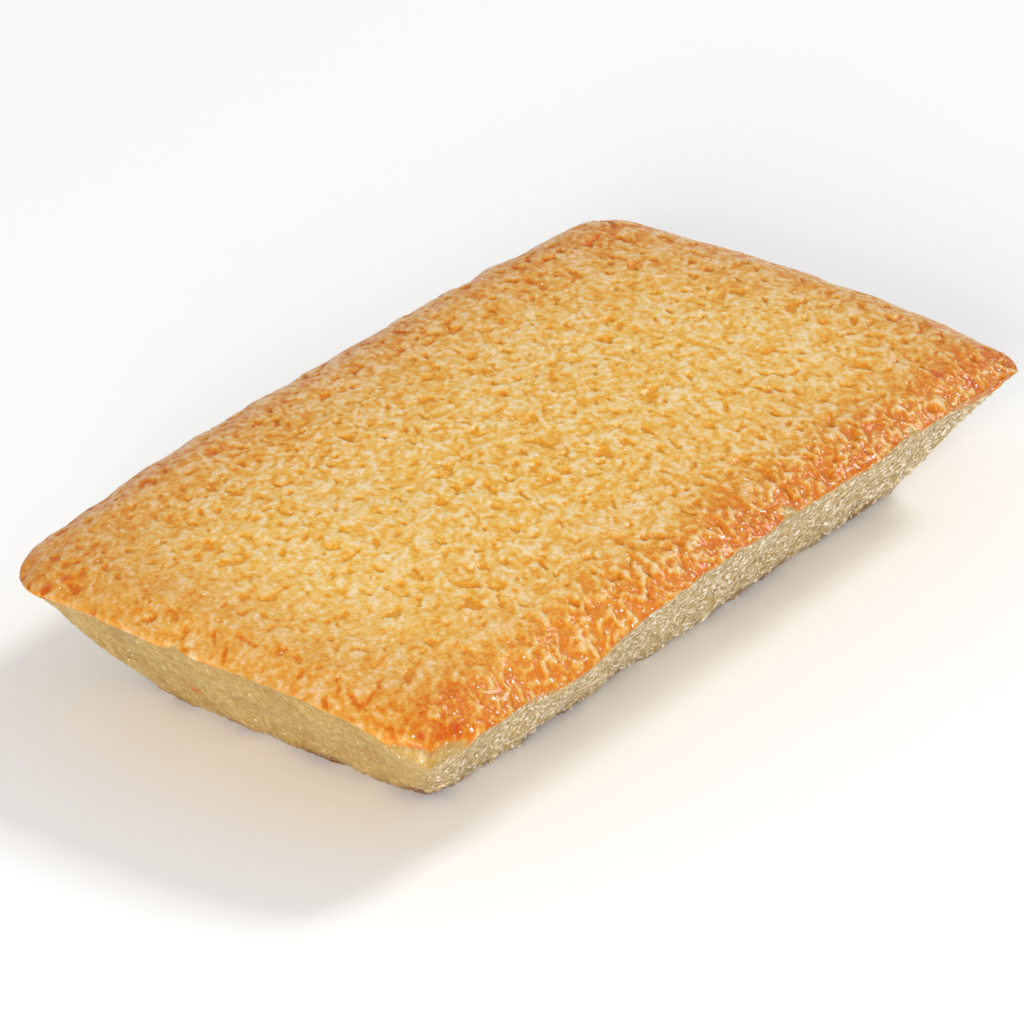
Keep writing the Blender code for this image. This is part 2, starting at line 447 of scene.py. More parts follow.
def mounds_and_pebbles(loose):
    """The height of the mounds, and of the pebbles and grains on them."""
    mound = MOUND_HEIGHT * sample(noise.noise, loose, MOUND_SIZE)
    dome = 2 * (domes(loose, PEBBLE_SIZE) - DOME_MIDDLE)
    pebble = sample(noise.noise, loose, PEBBLE_SIZE) * (1 - DOME_SHARE) + dome * DOME_SHARE
    grain = sample(noise.noise, loose, GRAIN_SIZE)
    return mound, PEBBLE_HEIGHT * pebble + GRAIN_HEIGHT * grain


mound, fine = mounds_and_pebbles(drawn_out(few_places))
print(f"mounds reach {mound.max() / MM:.2f} mm and pebbles {fine.max() / MM:.2f} mm")

# %% Where the crust is blistered or calm
BLISTER_FULL, BLISTER_NONE = 1.5 * MM, 8 * MM  # how far in from the front edge
BLISTER_WAVE_SIZE, BLISTER_WAVE_DEPTH = 7 * MM, 3 * MM
BLISTER_START = 6 * MM  # they are full this far from the left end
CALM_LEFT, CALM_REACH = 0.56, 34 * MM  # the share of its height that the left end's relief has


def blistering(places):
    """From 0 to 1: the front edge blistered most, where the oven was hottest."""
    wander = BLISTER_WAVE_DEPTH * sample(noise.noise, places, BLISTER_WAVE_SIZE)
    from_left, from_front, _, _ = from_sides(places)
    front = 1 - smooth_step(from_front + wander, BLISTER_FULL, BLISTER_NONE)
    return front * smooth_step(from_left, 0, BLISTER_START)


def liveliness(places):
    """The share of its full height that the relief has: the left end rose less."""
    from_left = places[:, 0] + RIM_LENGTH / 2
    return CALM_LEFT + (1 - CALM_LEFT) * smooth_step(from_left, 0, CALM_REACH)


print(f"{(blistering(top) > 0.5).mean():.1%} of the top is blistered")

# %% Pits and bowls
PIT_SIZE, PIT_DEPTH, PIT_START, PIT_FULL = 1.0 * MM, 0.26 * MM, 0.35, 0.50
BOWL_SIZE, BOWL_DEPTH = 0.70 * MM, 0.36 * MM
BOWL_LESS, BOWL_LESS_START, BOWL_LESS_END = 0.30, 22 * MM, 40 * MM  # towards the right end
RIM_DIP, RIM_DIP_REACH = 0.3, 1.2 * MM  # pits keep this share of their depth at the rim
CALM_PEBBLES = 0.62  # the share of their height that pebbles have where nothing is blistered


def pits_and_bowls(places, loose, blistered):
    """The depth of the ragged pits, and of the bowls along the front."""
    pit = PIT_DEPTH * ragged_pits(loose, PIT_SIZE, PIT_START, PIT_FULL)
    bowl = BOWL_DEPTH * (domes(loose + ANOTHER_LAYER, BOWL_SIZE) - DOME_MIDDLE) * blistered
    bowl *= 1 - BOWL_LESS * smooth_step(places[:, 0], BOWL_LESS_START, BOWL_LESS_END)
    return pit, bowl


pit, bowl = pits_and_bowls(few_places, drawn_out(few_places), 1.0)
print(f"pits reach {pit.max() / MM:.2f} mm and bowls {bowl.max() / MM:.2f} mm")

# %% The whole relief of the crust
# How hollow a place is decides its colour later. Each pattern counts for that by its own share.
MOUND_COLOUR, PIT_COLOUR, BOWL_COLOUR, FINE_COLOUR = 0.28, 0.8, 0.9, 0.95
BOWL_SHIFT = 0.07 * MM  # the blistered front counts as this much more hollow
NEAR_CRUST_ROWS = 24  # the skin never reaches further down the wall than this many rows


def crust_relief(places):
    """The height of the crumb above the smooth crust, and how hollow each place is."""
    loose = drawn_out(places)
    swell = SWELL_HEIGHT * sample(noise.noise, places, SWELL_SIZE)
    mound, fine = mounds_and_pebbles(loose)
    blistered, lively = blistering(places), liveliness(places)
    pit, bowl = pits_and_bowls(places, loose, blistered)
    inside = smooth_step(np.min(from_sides(places), axis=0), 0, RIM_DIP_REACH)
    dip = (pit + bowl) * (RIM_DIP + (1 - RIM_DIP) * inside)
    hollow = PIT_COLOUR * pit + BOWL_COLOUR * bowl - FINE_COLOUR * fine - MOUND_COLOUR * mound
    fine *= CALM_PEBBLES + (1 - CALM_PEBBLES) * blistered
    return swell + mound + (fine - dip) * lively, hollow * lively + BOWL_SHIFT * blistered


near_crust = slice(0, len(top) + NEAR_CRUST_ROWS * len(ring))
relief, hollow = crust_relief(smooth[near_crust])
print(f"the crust's relief runs from {relief.min() / MM:.2f} to {relief.max() / MM:.2f} mm")

# %% [markdown]
# ## The relief of the walls
#
# The walls lay against buttered metal. They are flatter than the crust, with a fine, sugary
# grain, a slow waviness, and nibs and notches along the bottom edge where the crumb stuck. The
# same domes serve again, drawn out down the walls, with two slower noises added.

# %% Heights on the walls
WALL_GRAIN_SIZE, WALL_GRAIN_HEIGHT = 0.62 * MM, 0.15 * MM
WALL_DRAWN_OUT = 2.8  # the grains run down the walls, the way the batter rose
WAVE_SIZE, WAVE_HEIGHT = 7 * MM, 0.30 * MM
NIB_SIZE, NIB_HEIGHT, NIB_REACH = 2.6 * MM, 0.30 * MM, 4 * MM
NIB_SHARE = 0.35  # how much of the nibs is left above their reach


def wall_relief(places):
    """The height of the crumb on the walls, and how hollow it is from 0 to 1."""
    grain = domes(places * (1, 1, 1 / WALL_DRAWN_OUT), WALL_GRAIN_SIZE)
    wave = WAVE_HEIGHT * sample(noise.noise, places, WAVE_SIZE)
    near_base = 1 - smooth_step(places[:, 2], 0, NIB_REACH)
    nib = NIB_HEIGHT * sample(noise.noise, places, NIB_SIZE) * (NIB_SHARE + near_base)
    return WALL_GRAIN_HEIGHT * (grain - DOME_MIDDLE) + wave + nib, 1 - grain


beside, wall_hollow = wall_relief(smooth)
print(f"the walls' relief runs from {beside.min() / MM:.2f} to {beside.max() / MM:.2f} mm")

# %% [markdown]
# ## Where skin gives way to crumb
#
# The skin's edge on a real cake is frayed, because it tears along its own bubbles. We could cut
# the mesh along that line, but it would need tiny faces there. Instead each point stores how much
# skin covers it, from 0 to 1. Two noises fray the line, and both the relief and the colour fade
# from one surface to the other across it.

# %% How much brown skin covers each place
EDGE_BLUR = 0.32 * MM
EDGE_FRAYS = [(1.1, 0.30), (0.5, 0.18)]  # size and height in mm
SKIN_END = 5 * MM  # below this there is no skin, whatever the frays say

on_top = np.arange(len(smooth)) < len(top)
below_rim = np.where(on_top, -np.min(from_sides(rim_above), axis=0), rim_above[:, 2] - smooth[:, 2])
outside = np.maximum(below_rim - skin_reach(rim_above), bare_corner(rim_above))
for grain, height in EDGE_FRAYS:
    outside += height * MM * sample(noise.noise, smooth, grain * MM)
crust_share = 1 - smooth_step(outside, -EDGE_BLUR, EDGE_BLUR)
crust_share[below_rim > SKIN_END] = 0
print(f"brown skin covers {crust_share[on_top].mean():.1%} of the top")

# %% [markdown]
# ## Sugar grains and painted glints
#
# Sugar left on the buttered tin sticks to the walls as pale grains. Their near-white also stands
# in for glints, so it is partly painted highlight. The front wall and the rim over it carry the
# most, and the left wall the least. Thousands of loose crystals would make the model heavy, so the
# larger grains are small bumps in the wall's own mesh, wherever a noise lies above a threshold.
# The smaller ones are left to the materials.

# %% Sugar grains and painted glints
SUGAR_SIZE, SUGAR_HEIGHT = 0.62 * MM, 0.18 * MM
SUGAR_START, SUGAR_FULL = 0.26, 0.50  # the values of the noise between which a grain rises
WALL_SUGAR, MORE_IN_FRONT, LESS_ON_LEFT = 0.65, 0.4, 0.6
UNDER_RIM, UNDER_RIM_REACH = 0.3, 1.5 * MM  # the share of relief and sugar right under the rim
RIM_SUGAR_AND_GLINTS, RIM_SUGAR_REACH, RIM_SUGAR_START = 0.55, 3.5 * MM, 8 * MM

facing_left, facing_front = np.clip(-normal[:, :2].T, 0, 1)
from_left, from_front, _, _ = from_sides(rim_above)
down_wall = smooth_step(below_rim, 0, UNDER_RIM_REACH)
wall_sugar_and_glints = WALL_SUGAR + MORE_IN_FRONT * facing_front - LESS_ON_LEFT * facing_left
wall_share = UNDER_RIM + (1 - UNDER_RIM) * down_wall
wall_sugar_and_glints = np.clip(wall_sugar_and_glints, 0, 1) * wall_share
# Painted highlight: on the front rim the white specks stand in for glints as well as sugar.
rim_sugar_and_glints = RIM_SUGAR_AND_GLINTS * bell(from_front, 0, RIM_SUGAR_REACH)
rim_sugar_and_glints *= smooth_step(from_left, 0, RIM_SUGAR_START)
sugary_and_glinting = np.clip(wall_sugar_and_glints + (rim_sugar_and_glints - wall_sugar_and_glints) * crust_share, 0, 1)
sugar_noise = sample(noise.noise, smooth + ANOTHER_LAYER, SUGAR_SIZE)
grains = smooth_step(sugar_noise, SUGAR_START, SUGAR_FULL) * wall_sugar_and_glints * (1 - crust_share)
print(f"sugar grains cover {(grains > 0.5).mean():.1%} of the cake")

# %% [markdown]
# ## The bare corner
#
# At the front left the skin broke away, and the soft crumb under it is rubbed round. A bevel
# would do that for a plain edge, but this mesh is already dense, and pushing a sharp edge inwards
# along its normals folds it over itself. So each point near the edge slides to the place that it
# has on a true round: the same run along a quarter circle as it had along the sharp edge.

# %% Round the bare corner's edge
BARE_ROUNDING = 3.2 * MM
SIDE_BLEND = 1.5 * MM  # near a corner, two sides share the direction over about this much
RUB_START, RUB_FULL = -1.5 * MM, 1.0 * MM  # outside the skin's broken edge


def level_outwards(places):
    """Level directions away from the nearest side, or between two sides near a corner."""
    left, front, right, back = np.exp(-np.maximum(from_sides(places), 0) / SIDE_BLEND)
    out = np.column_stack([right - left, back - front])
    return out / np.maximum(np.linalg.norm(out, axis=1, keepdims=True), 1e-6)


def rubbed_away(rim_places, below):
    """The shift that turns the bare corner's sharp edge into a round one."""
    near = np.clip(below, -BARE_ROUNDING, BARE_ROUNDING)  # negative on top, positive on the wall
    turn = np.radians(45) * (1 + near / BARE_ROUNDING)
    inward = BARE_ROUNDING * (1 - np.sin(turn)) - np.maximum(-near, 0)
    down = BARE_ROUNDING * (1 - np.cos(turn)) - np.maximum(near, 0)
    shift = np.column_stack([level_outwards(rim_places) * inward[:, None], down])
    return shift * smooth_step(bare_corner(rim_places), RUB_START, RUB_FULL)[:, None]


rubbed = rubbed_away(rim_above, below_rim)
print(f"the bare corner's edge is rubbed back by {np.abs(rubbed).max() / MM:.2f} mm")

# %% [markdown]
# ## Put the reliefs together
#
# Every point moves along its normal by the relief of the surface that it belongs to. Two things
# would spoil the crust's sharp rim: a deep dent would fold it, so dents are kept shallow there,
# and a slow wave along normals that fan out would pinch it, so the wave that scallops the rim
# moves whole stretches of it level with the ground instead.

# %% The height of each place
BROKEN_STEP = 0.12 * MM  # the skin's thickness, where it broke off on top
RIM_DENT, DEEPEST_DENT, DENT_REACH = 0.04 * MM, 0.82 * MM, (0.1 * MM, 0.9 * MM)
SMOOTH_WALL_SHARE = 0.7  # how much flatter the wall is under the bare corner
SMOOTH_WALL_REACH = 2 * MM, 6 * MM
TORN_REACH = 1.5 * MM, 5 * MM

near_bare = smooth_step(bare_corner(rim_above), -2.0 * MM, 0.5 * MM)
smooth_wall = near_bare * (1 - smooth_step(below_rim, *SMOOTH_WALL_REACH))
torn = near_bare * (1 - smooth_step(below_rim, *TORN_REACH))
height = beside * wall_share * (1 - SMOOTH_WALL_SHARE * smooth_wall)
height += SUGAR_HEIGHT * grains * (1 - smooth_wall)
height[near_crust] += (relief - height[near_crust]) * crust_share[near_crust]
from_rim = smooth_step(np.abs(below_rim), *DENT_REACH)
height = np.maximum(height, -RIM_DENT - (DEEPEST_DENT - RIM_DENT) * from_rim)
broken = smooth_step(bare_corner(rim_above), -0.5 * MM, 0) * (1 - down_wall)
height -= BROKEN_STEP * (1 - crust_share) * broken
on_underside = smooth[:, 2] < 1e-6
height[on_underside] = np.minimum(height[on_underside], 0)
print(f"the whole relief runs from {height.min() / MM:.2f} to {height.max() / MM:.2f} mm")

# %% The rough cake
RIM_WAVE_SIZE, RIM_WAVE_HEIGHT = 4.5 * MM, 0.42 * MM
RIM_WAVE_REACH = 0.5 * MM, 4 * MM

wave = RIM_WAVE_HEIGHT * sample(noise.noise, rim_above, RIM_WAVE_SIZE)
wave *= 1 - smooth_step(np.abs(below_rim), *RIM_WAVE_REACH)
rough = smooth + normal * height[:, None] - rubbed
rough[:, :2] += level_outwards(rim_above) * wave[:, None]
rough[:, 2] = np.maximum(rough[:, 2], 0)
print("the rough cake measures", ((rough.max(0) - rough.min(0)) / MM).round(1), "mm")

# %% [markdown]
# ## How hollow each place is
#
# On the real crust the tops of the pebbles are pale and dry, and butter gathers in the hollows
# and browns there. The material needs to know which is which, so each point stores its rank: 0
# for the highest place and 1 for the most hollow. A rank spreads evenly from 0 to 1, so the
# colours below can be chosen as shares of the surface.
# Part of this colour is painted light: the paler tops are painted highlight and the darker hollows
# painted shade.

# %% Rank the hollows
shallow_to_deep = np.sort(hollow[: len(top)])
crust_rank = np.interp(hollow, shallow_to_deep, np.linspace(0, 1, len(top)))
hollow_rank = np.interp(wall_hollow, np.sort(wall_hollow), np.linspace(0, 1, len(smooth)))
hollow_rank[near_crust] += (crust_rank - hollow_rank[near_crust]) * crust_share[near_crust]
print("half of the crust is less hollow than", (np.median(hollow) / MM).round(2), "mm")

# %% [markdown]
# ## How brown each place is
#
# The tin's rim is the hottest place, so the crust browns from its edge inwards, and most of all
# at the corners. We store that as an attribute on the mesh, next to how hollow each place is, and
# the materials turn both into colour. Each side and corner takes its own share of the paleness
# away, so that no two of them look alike and a slow noise keeps the border between them uneven.

# %% Browning
# The back browns most and furthest; that extra darkness is partly painted shade, where its shoulder
# curves away from the light.
SIDE_BROWNING_AND_SHADE = 0.84, 0.78, 0.86, 0.98  # left, front, right and back
SIDE_REACH = np.array([8, 8, 8, 10.5]) * MM
SIDE_POWER = 1.6
CORNER_BROWNING = 0.80, 0.30, 0.78, 0.60
CORNER_REACH = 11 * MM
BLOTCH_SIZE, BLOTCH_ON_SIDES, BLOTCH_ALL_OVER = 9 * MM, 0.25, 0.06
MOTTLE_SIZE, MOTTLE_SHARE = 2.5 * MM, 0.04


def browning(places):
    """From 0, pale gold, to 1, deep orange."""
    blotch = sample(noise.noise, places, BLOTCH_SIZE)
    mottle = sample(noise.noise, places, MOTTLE_SIZE)
    pale = np.ones(len(places))
    for amount, reach, depth in zip(SIDE_BROWNING_AND_SHADE, SIDE_REACH, from_sides(places)):
        nearness = np.exp(-((np.maximum(depth, 0) / reach) ** SIDE_POWER))
        pale *= 1 - np.clip(amount * (1 + BLOTCH_ON_SIDES * blotch), 0, 1) * nearness
    for corner, amount in zip(CORNERS, CORNER_BROWNING):
        tip = corner * np.array([RIM_LENGTH, RIM_WIDTH]) / 2
        away = np.linalg.norm(places[:, :2] - tip, axis=1)
        pale *= 1 - amount * bell(away, 0, CORNER_REACH)
    return np.clip(1 - pale + BLOTCH_ALL_OVER * blotch + MOTTLE_SHARE * mottle, 0, 1)


brown = browning(rim_above)
print(f"the crust's mean browning is {brown[on_top].mean():.2f}")

# %% [markdown]
# ## Scorched spots and a painted shadow
#
# A few places are almost burnt: the bottom edge and patches of the underside, where the tin is
# hottest, and single flecks. Where the bottom browns is left to a noise. The flecks are listed
# one by one, because a noise would spread them too evenly. A thin line of painted shadow also
# darkens the bare crumb just beside the skin's broken edge at the front left corner.

# %% Scorched spots and a painted shadow
CRUST_FLECKS = [  # x, y and radius in mm
    (21.2, -13.2, 0.45),
    (35.8, -22.6, 0.7),
    (38.1, -24.8, 0.6),
    (-45.8, 18.8, 0.6),
    (-44.5, 17.8, 0.5),
    (-44.6, -23.0, 0.5),
    (-41.6, -24.7, 0.6),
    (-43.2, -24.2, 0.5),
]
WALL_FLECKS = [  # x, y, z and radius in mm
    (27.0, -19.4, 2.6, 1.0),
    (-38.6, -9.0, 1.2, 0.8),
    (-37.9, 4.0, 0.9, 0.9),
    (8.0, -18.4, 1.0, 0.8),
]
SCORCHED_LINE = 1.0 * MM, 2.1 * MM  # how far up the wall the brown of the bottom fades out
LINE_WAVE_SIZE, LINE_WAVE_HEIGHT = 2 * MM, 0.6 * MM
LINE_PATCH_SIZE, LINE_LEAST = 5 * MM, 0.35
# Painted shadow: a thin dark line on the bare crumb just beside the skin's broken edge.
SKIN_EDGE_SHADOW, SKIN_EDGE_SHADOW_WIDTH, SKIN_EDGE_SHADOW_END = 0.42, 0.32 * MM, 5 * MM

above_base = smooth[:, 2] + LINE_WAVE_HEIGHT * sample(noise.noise, smooth, LINE_WAVE_SIZE)
patchy = smooth_step(sample(noise.noise, smooth, LINE_PATCH_SIZE), -0.35, 0.35)
scorched_and_shadowed = 1 - smooth_step(above_base, *SCORCHED_LINE)
scorched_and_shadowed *= LINE_LEAST + (1 - LINE_LEAST) * patchy
skin_edge_shadow = bell(bare_corner(rim_above), 0.05 * MM, SKIN_EDGE_SHADOW_WIDTH) * on_top
skin_edge_shadow *= SKIN_EDGE_SHADOW * (from_left < SKIN_EDGE_SHADOW_END)
scorched_and_shadowed = np.maximum(scorched_and_shadowed, skin_edge_shadow)
for x, y, radius in CRUST_FLECKS:
    away = np.hypot(rim_above[:, 0] - x * MM, rim_above[:, 1] - y * MM)
    scorched_and_shadowed = np.maximum(scorched_and_shadowed, bell(away, 0, radius * MM) * on_top)
for x, y, z, radius in WALL_FLECKS:
    away = np.linalg.norm(smooth - np.array([x, y, z]) * MM, axis=1)
    scorched_and_shadowed = np.maximum(scorched_and_shadowed, bell(away, 0, radius * MM))
print(f"{(scorched_and_shadowed > 0.5).sum()} points are scorched")

# %% A butter stain on the left wall
STAIN_PLACE, STAIN_RADIUS = np.array([-40.4, 6.4, 4.8]) * MM, 1.15 * MM
STAIN_STRETCH = 0.8, 1.0, 0.5  # below 1 makes the stain longer in that direction
STAIN_BROWN, STAIN_SCORCHED = 0.56, 0.42

away = np.linalg.norm((smooth - STAIN_PLACE) * STAIN_STRETCH, axis=1)
stain = bell(away, 0, STAIN_RADIUS)
skin_colour = np.maximum(crust_share, STAIN_BROWN * stain)
scorched_and_shadowed = np.maximum(scorched_and_shadowed, STAIN_SCORCHED * stain)
print(f"the stain covers {(stain > 0.5).sum()} points")

# %% [markdown]
# ## Cut the cake into crust and crumb
#
# The brown top and the pale crumb have different finishes, so they become two pieces, each with
# its own material. They are cut apart a little below the lip, where the cut doesn't show, and
# each is closed. The normals are worked out before the cut, so no line shows along it.
#
# One flat face straight across the uneven cut would poke out through the wall. Each piece is
# therefore first closed with a band that runs inwards from the cut, and then with a flat face.

# %% Cut the surface into two closed pieces
SEAM_ROW = LIP_ROWS + 3  # three rows under the lip
CUT_BAND = 4 * MM


def add_attribute(mesh, name, values):
    mesh.attributes.new(name, "FLOAT", "POINT").data.foreach_set("value", values)


def make_piece(name, faces, caps):
    """A closed mesh object from some of the faces, with each cap as one more face."""
    used = np.unique(faces)
    renumber = np.zeros(len(rough), dtype=int)
    renumber[used] = np.arange(len(used))
    mesh = bpy.data.meshes.new(name)
    polygons = renumber[faces].tolist() + [renumber[cap].tolist() for cap in caps]
    mesh.from_pydata((rough[used] + middle).tolist(), [], polygons)
    mesh.shade_smooth()
    mesh.normals_split_custom_set_from_vertices(rough_normal[used].tolist())
    for layer, values in layers.items():
        add_attribute(mesh, layer, values[used])
    piece = bpy.data.objects.new(name, mesh)
    bpy.context.scene.collection.objects.link(piece)
    triangles = sum(len(face) - 2 for face in polygons)
    print(f"{name}: {triangles} triangles")
    return piece


rough_normal = outward(rough, all_faces)
middle = np.array([(low.x + high.x) / 2, (low.y + high.y) / 2, low.z])
seam, innermost = ring_at(SEAM_ROW - 1), ring_at(len(rows) - 1)
inner = len(rough) + np.arange(len(ring))
step_in = np.ones((len(ring), 3))
step_in[:, :2] -= CUT_BAND / np.linalg.norm(rough[seam, :2], axis=1, keepdims=True)
rough = np.vstack([rough, rough[seam] * step_in])
rough_normal = np.vstack([rough_normal, np.zeros((len(ring), 3))])
layers = {
    "hollow": hollow_rank,
    "browning": brown,
    "crust_share": skin_colour,
    "sugary_and_glinting": sugary_and_glinting,
    "scorched_and_shadowed": scorched_and_shadowed,
    "torn": torn,
    "grains": grains,
}
layers = {name: np.append(values, values[seam]) for name, values in layers.items()}
crust_faces = np.vstack([top_faces, *faces_by_row[:SEAM_ROW], band(seam, inner)])
crumb_faces = np.vstack([*faces_by_row[SEAM_ROW:], band(inner, seam)])
crust = make_piece("crust", crust_faces, [inner[::-1]])
crumb = make_piece("crumb", crumb_faces, [inner, innermost[::-1]])

# %% [markdown]
# ## Finishes
#
# Both finishes are baked almond sponge: egg white, sugar, ground almonds and browned butter. What
# differs is how each surface was made. The crust fried in its own butter, open to the oven. The
# crumb baked against a buttered tin and was pulled off it.
#
# A painted image would fit only one unwrapping of the mesh. Here the colours come from the
# attributes stored above and from noise in millimetres, so they follow the relief everywhere.
# First come a few helpers: one turns an sRGB hex colour into the linear one that shaders take,
# and one adds any node with its settings and links.

# %% Node and colour helpers
def linear(hex_colour):
    """An sRGB hex colour as the linear RGBA that shaders take."""
    channels = [int(hex_colour[i : i + 2], 16) / 255 for i in (1, 3, 5)]
    rgb = [c / 12.92 if c <= 0.04045 else ((c + 0.055) / 1.055) ** 2.4 for c in channels]
    return (*rgb, 1.0)


def add(tree, kind, links=None, **settings):
    """Adds a node. links maps an input to another node's output or to a value."""
    node = tree.nodes.new(kind)
    for name, value in settings.items():
        setattr(node, name, value)
    for socket, source in (links or {}).items():
        if isinstance(source, bpy.types.NodeSocket):
            tree.links.new(source, node.inputs[socket])
        else:
            node.inputs[socket].default_value = source
    return node


def new_material(name):
    material = bpy.data.materials.new(name)
    material.use_nodes = True
    material.node_tree.nodes.clear()
    return material


MIX_A, MIX_B, MIX_RESULT = 6, 7, 2  # the colour sockets of Blender's Mix node


def mix_colour(tree, share, a, b, blend="MIX"):
    links = {0: share, MIX_A: a, MIX_B: b}
    node = add(tree, "ShaderNodeMix", links, data_type="RGBA", blend_type=blend)
    return node.outputs[MIX_RESULT]


def ramp(tree, value, *stops):
    node = add(tree, "ShaderNodeValToRGB", {0: value})
    points = node.color_ramp.elements
    while len(points) < len(stops):
        points.new(0.5)
    for point, (position, colour) in zip(points, stops):
        point.position = position
        point.color = linear(colour) if isinstance(colour, str) else (colour,) * 3 + (1,)
    return node.outputs[0]


print("the crust's gold is", [round(channel, 3) for channel in linear("#ebc06b")], "in linear")


# %% Patterns in the materials
def attribute(tree, name):
    return add(tree, "ShaderNodeAttribute", attribute_name=name).outputs["Fac"]


def scale_for(millimetres):
    """The scale of a noise texture whose features measure this much, in object coordinates."""
    return 1000 / millimetres


def noise_of(tree, place, millimetres, detail=0):
    links = {"Vector": place, "Scale": scale_for(millimetres), "Detail": detail}
    return add(tree, "ShaderNodeTexNoise", links).outputs[0]


def shifted(tree, value, other, amount):
    """A value plus a share of another one."""
    links = {0: other, 1: amount, 2: value}
    return add(tree, "ShaderNodeMath", links, operation="MULTIPLY_ADD").outputs[0]


def drawn_down(tree, place):
    """The place, squeezed so that a pattern runs down the walls like their grains."""
    links = {"Vector": place, "Scale": (1, 1, 1 / WALL_DRAWN_OUT)}
    return add(tree, "ShaderNodeMapping", links).outputs[0]


print(f"a pattern of 0.35 mm has a scale of {scale_for(0.35):.0f}")

# %% [markdown]
# ### The colour of the crumb
#
# Almond crumb is pale straw with darker pores, cloudy where more butter soaked in. In the
# hollows the pores are darker still, which is painted shade. The sugary front wall is dry and
# speckled, its pale specks partly painted glints, and the left wall greasier and more even.
# Where the skin broke off, the crumb is fresh and a little yellower, and darkened as painted
# shade because that patch faces up into the light. Real pores go down to a tenth of a
# millimetre, which is too fine to show, so they are drawn at about a third.

# %% Crumb colour
PORE_SIZE, CLOUD_SIZE = 0.35, 5  # mm
# Painted shade: the pores are made darker in the hollows.
PAINTED_SHADE_IN_HOLLOWS = -0.25  # hollows have darker pores
STRAW = (0.35, "#b08f48"), (0.65, "#ccb074")
PORES = (0.16, "#86642a"), (0.38, "#bf9f5e"), (0.6, "#ecdfba")
# Painted shade: the bare corner's fresh crumb colour is darkened because that patch faces up into
# the light.
BUTTER_SOAKED, FRESH_AND_SHADED_CRUMB = "#f3e8c8", "#c29a52"
DRY_PORES, GREASY_PORES, FRESH_PORES = 0.7, 0.22, 0.25  # how strongly each shows its pores


def crumb_colour(tree, place):
    cloudy = noise_of(tree, place, CLOUD_SIZE, 3)
    fine = noise_of(tree, drawn_down(tree, place), PORE_SIZE, 2)
    fine = shifted(tree, fine, attribute(tree, "hollow"), PAINTED_SHADE_IN_HOLLOWS)
    straw, pores = ramp(tree, cloudy, *STRAW), ramp(tree, fine, *PORES)
    dry = mix_colour(tree, DRY_PORES, straw, pores)
    greasy = mix_colour(tree, GREASY_PORES, straw, pores)
    greasy = mix_colour(tree, 1.0, greasy, linear(BUTTER_SOAKED), "MULTIPLY")
    baked = mix_colour(tree, attribute(tree, "sugary_and_glinting"), greasy, dry)
    fresh_and_shaded = mix_colour(tree, FRESH_PORES, linear(FRESH_AND_SHADED_CRUMB), pores)
    return mix_colour(tree, attribute(tree, "torn"), baked, fresh_and_shaded)


print(f"the pores are drawn at {PORE_SIZE} mm, and the clouds at {CLOUD_SIZE} mm")

# %% [markdown]
# ### The colour of the crust
#
# Baked almond and sugar go from cream on the pebbles' tops to honey in their hollows. Part of
# that is painted light: the palest tops are painted highlight and the deepest, most orange
# hollows painted shade. Towards the rim the same surface goes to amber. So there are two ramps
# over how hollow a place is, and the browning attribute mixes them. A fine noise wobbles the
# hollows' rank, as real browning isn't exactly as deep as the relief.

# %% Crust colour
# Both ramps are partly painted light: highlight at their pale ends and shade at their deep ends.
GOLD = (0.0, "#f0d6a8"), (0.15, "#ecca8a"), (0.4, "#ebc06b"), (0.7, "#e9b24a"), (1.0, "#e39616")
AMBER = (0.0, "#e1b686"), (0.12, "#dda968"), (0.4, "#d69534"), (0.7, "#d37f19"), (1.0, "#ca5a0c")
WOBBLE_SIZE, WOBBLE = 0.45, 0.24  # mm, and the most that it adds to the rank or takes off


def crust_colour(tree, place):
    speckle = noise_of(tree, place, WOBBLE_SIZE, 3)
    links = {0: speckle, 1: 0.3, 2: 0.7, 3: WOBBLE, 4: -WOBBLE}
    wobble = add(tree, "ShaderNodeMapRange", links).outputs[0]
    depth = shifted(tree, attribute(tree, "hollow"), wobble, 1.0)
    gold, amber = ramp(tree, depth, *GOLD), ramp(tree, depth, *AMBER)
    return mix_colour(tree, attribute(tree, "browning"), gold, amber)


print(f"{len(GOLD)} golds and {len(AMBER)} ambers colour the crust")

# %% [markdown]
# ### Skin, sugar, scorching and painted light together
#
# Both pieces use one colour for the whole cake, so that skin can run over the cut between them
# and no line of colour shows there. Sugar is nearly white, and that white also stands in for
# glints, so it is partly painted highlight. The grains that are real bumps get it from their
# attribute, and the smaller ones from a noise. Sugar crystals measure about a third of a
# millimetre, so they are drawn at their true size. The scorched colour also paints a thin
# shadow on the bare crumb beside the skin's broken edge.

# %% The whole cake's colour
# Painted highlight: the near-white of the sugar and of the grains also stands in for glints.
SUGAR_AND_GLINT_WHITE, GRAIN_AND_GLINT_WHITE = "#fff8ec", "#fbf3df"
# Painted shadow: the burnt crumb colour also darkens the line beside the skin's broken edge.
BURNT_AND_SHADED_CRUMB, BURNT_CRUST = "#7a4a1e", "#c4460e"
CRYSTAL_SIZE, CRYSTALS_MORE = 0.34, 0.18  # mm, and how much a sugary place adds to the noise


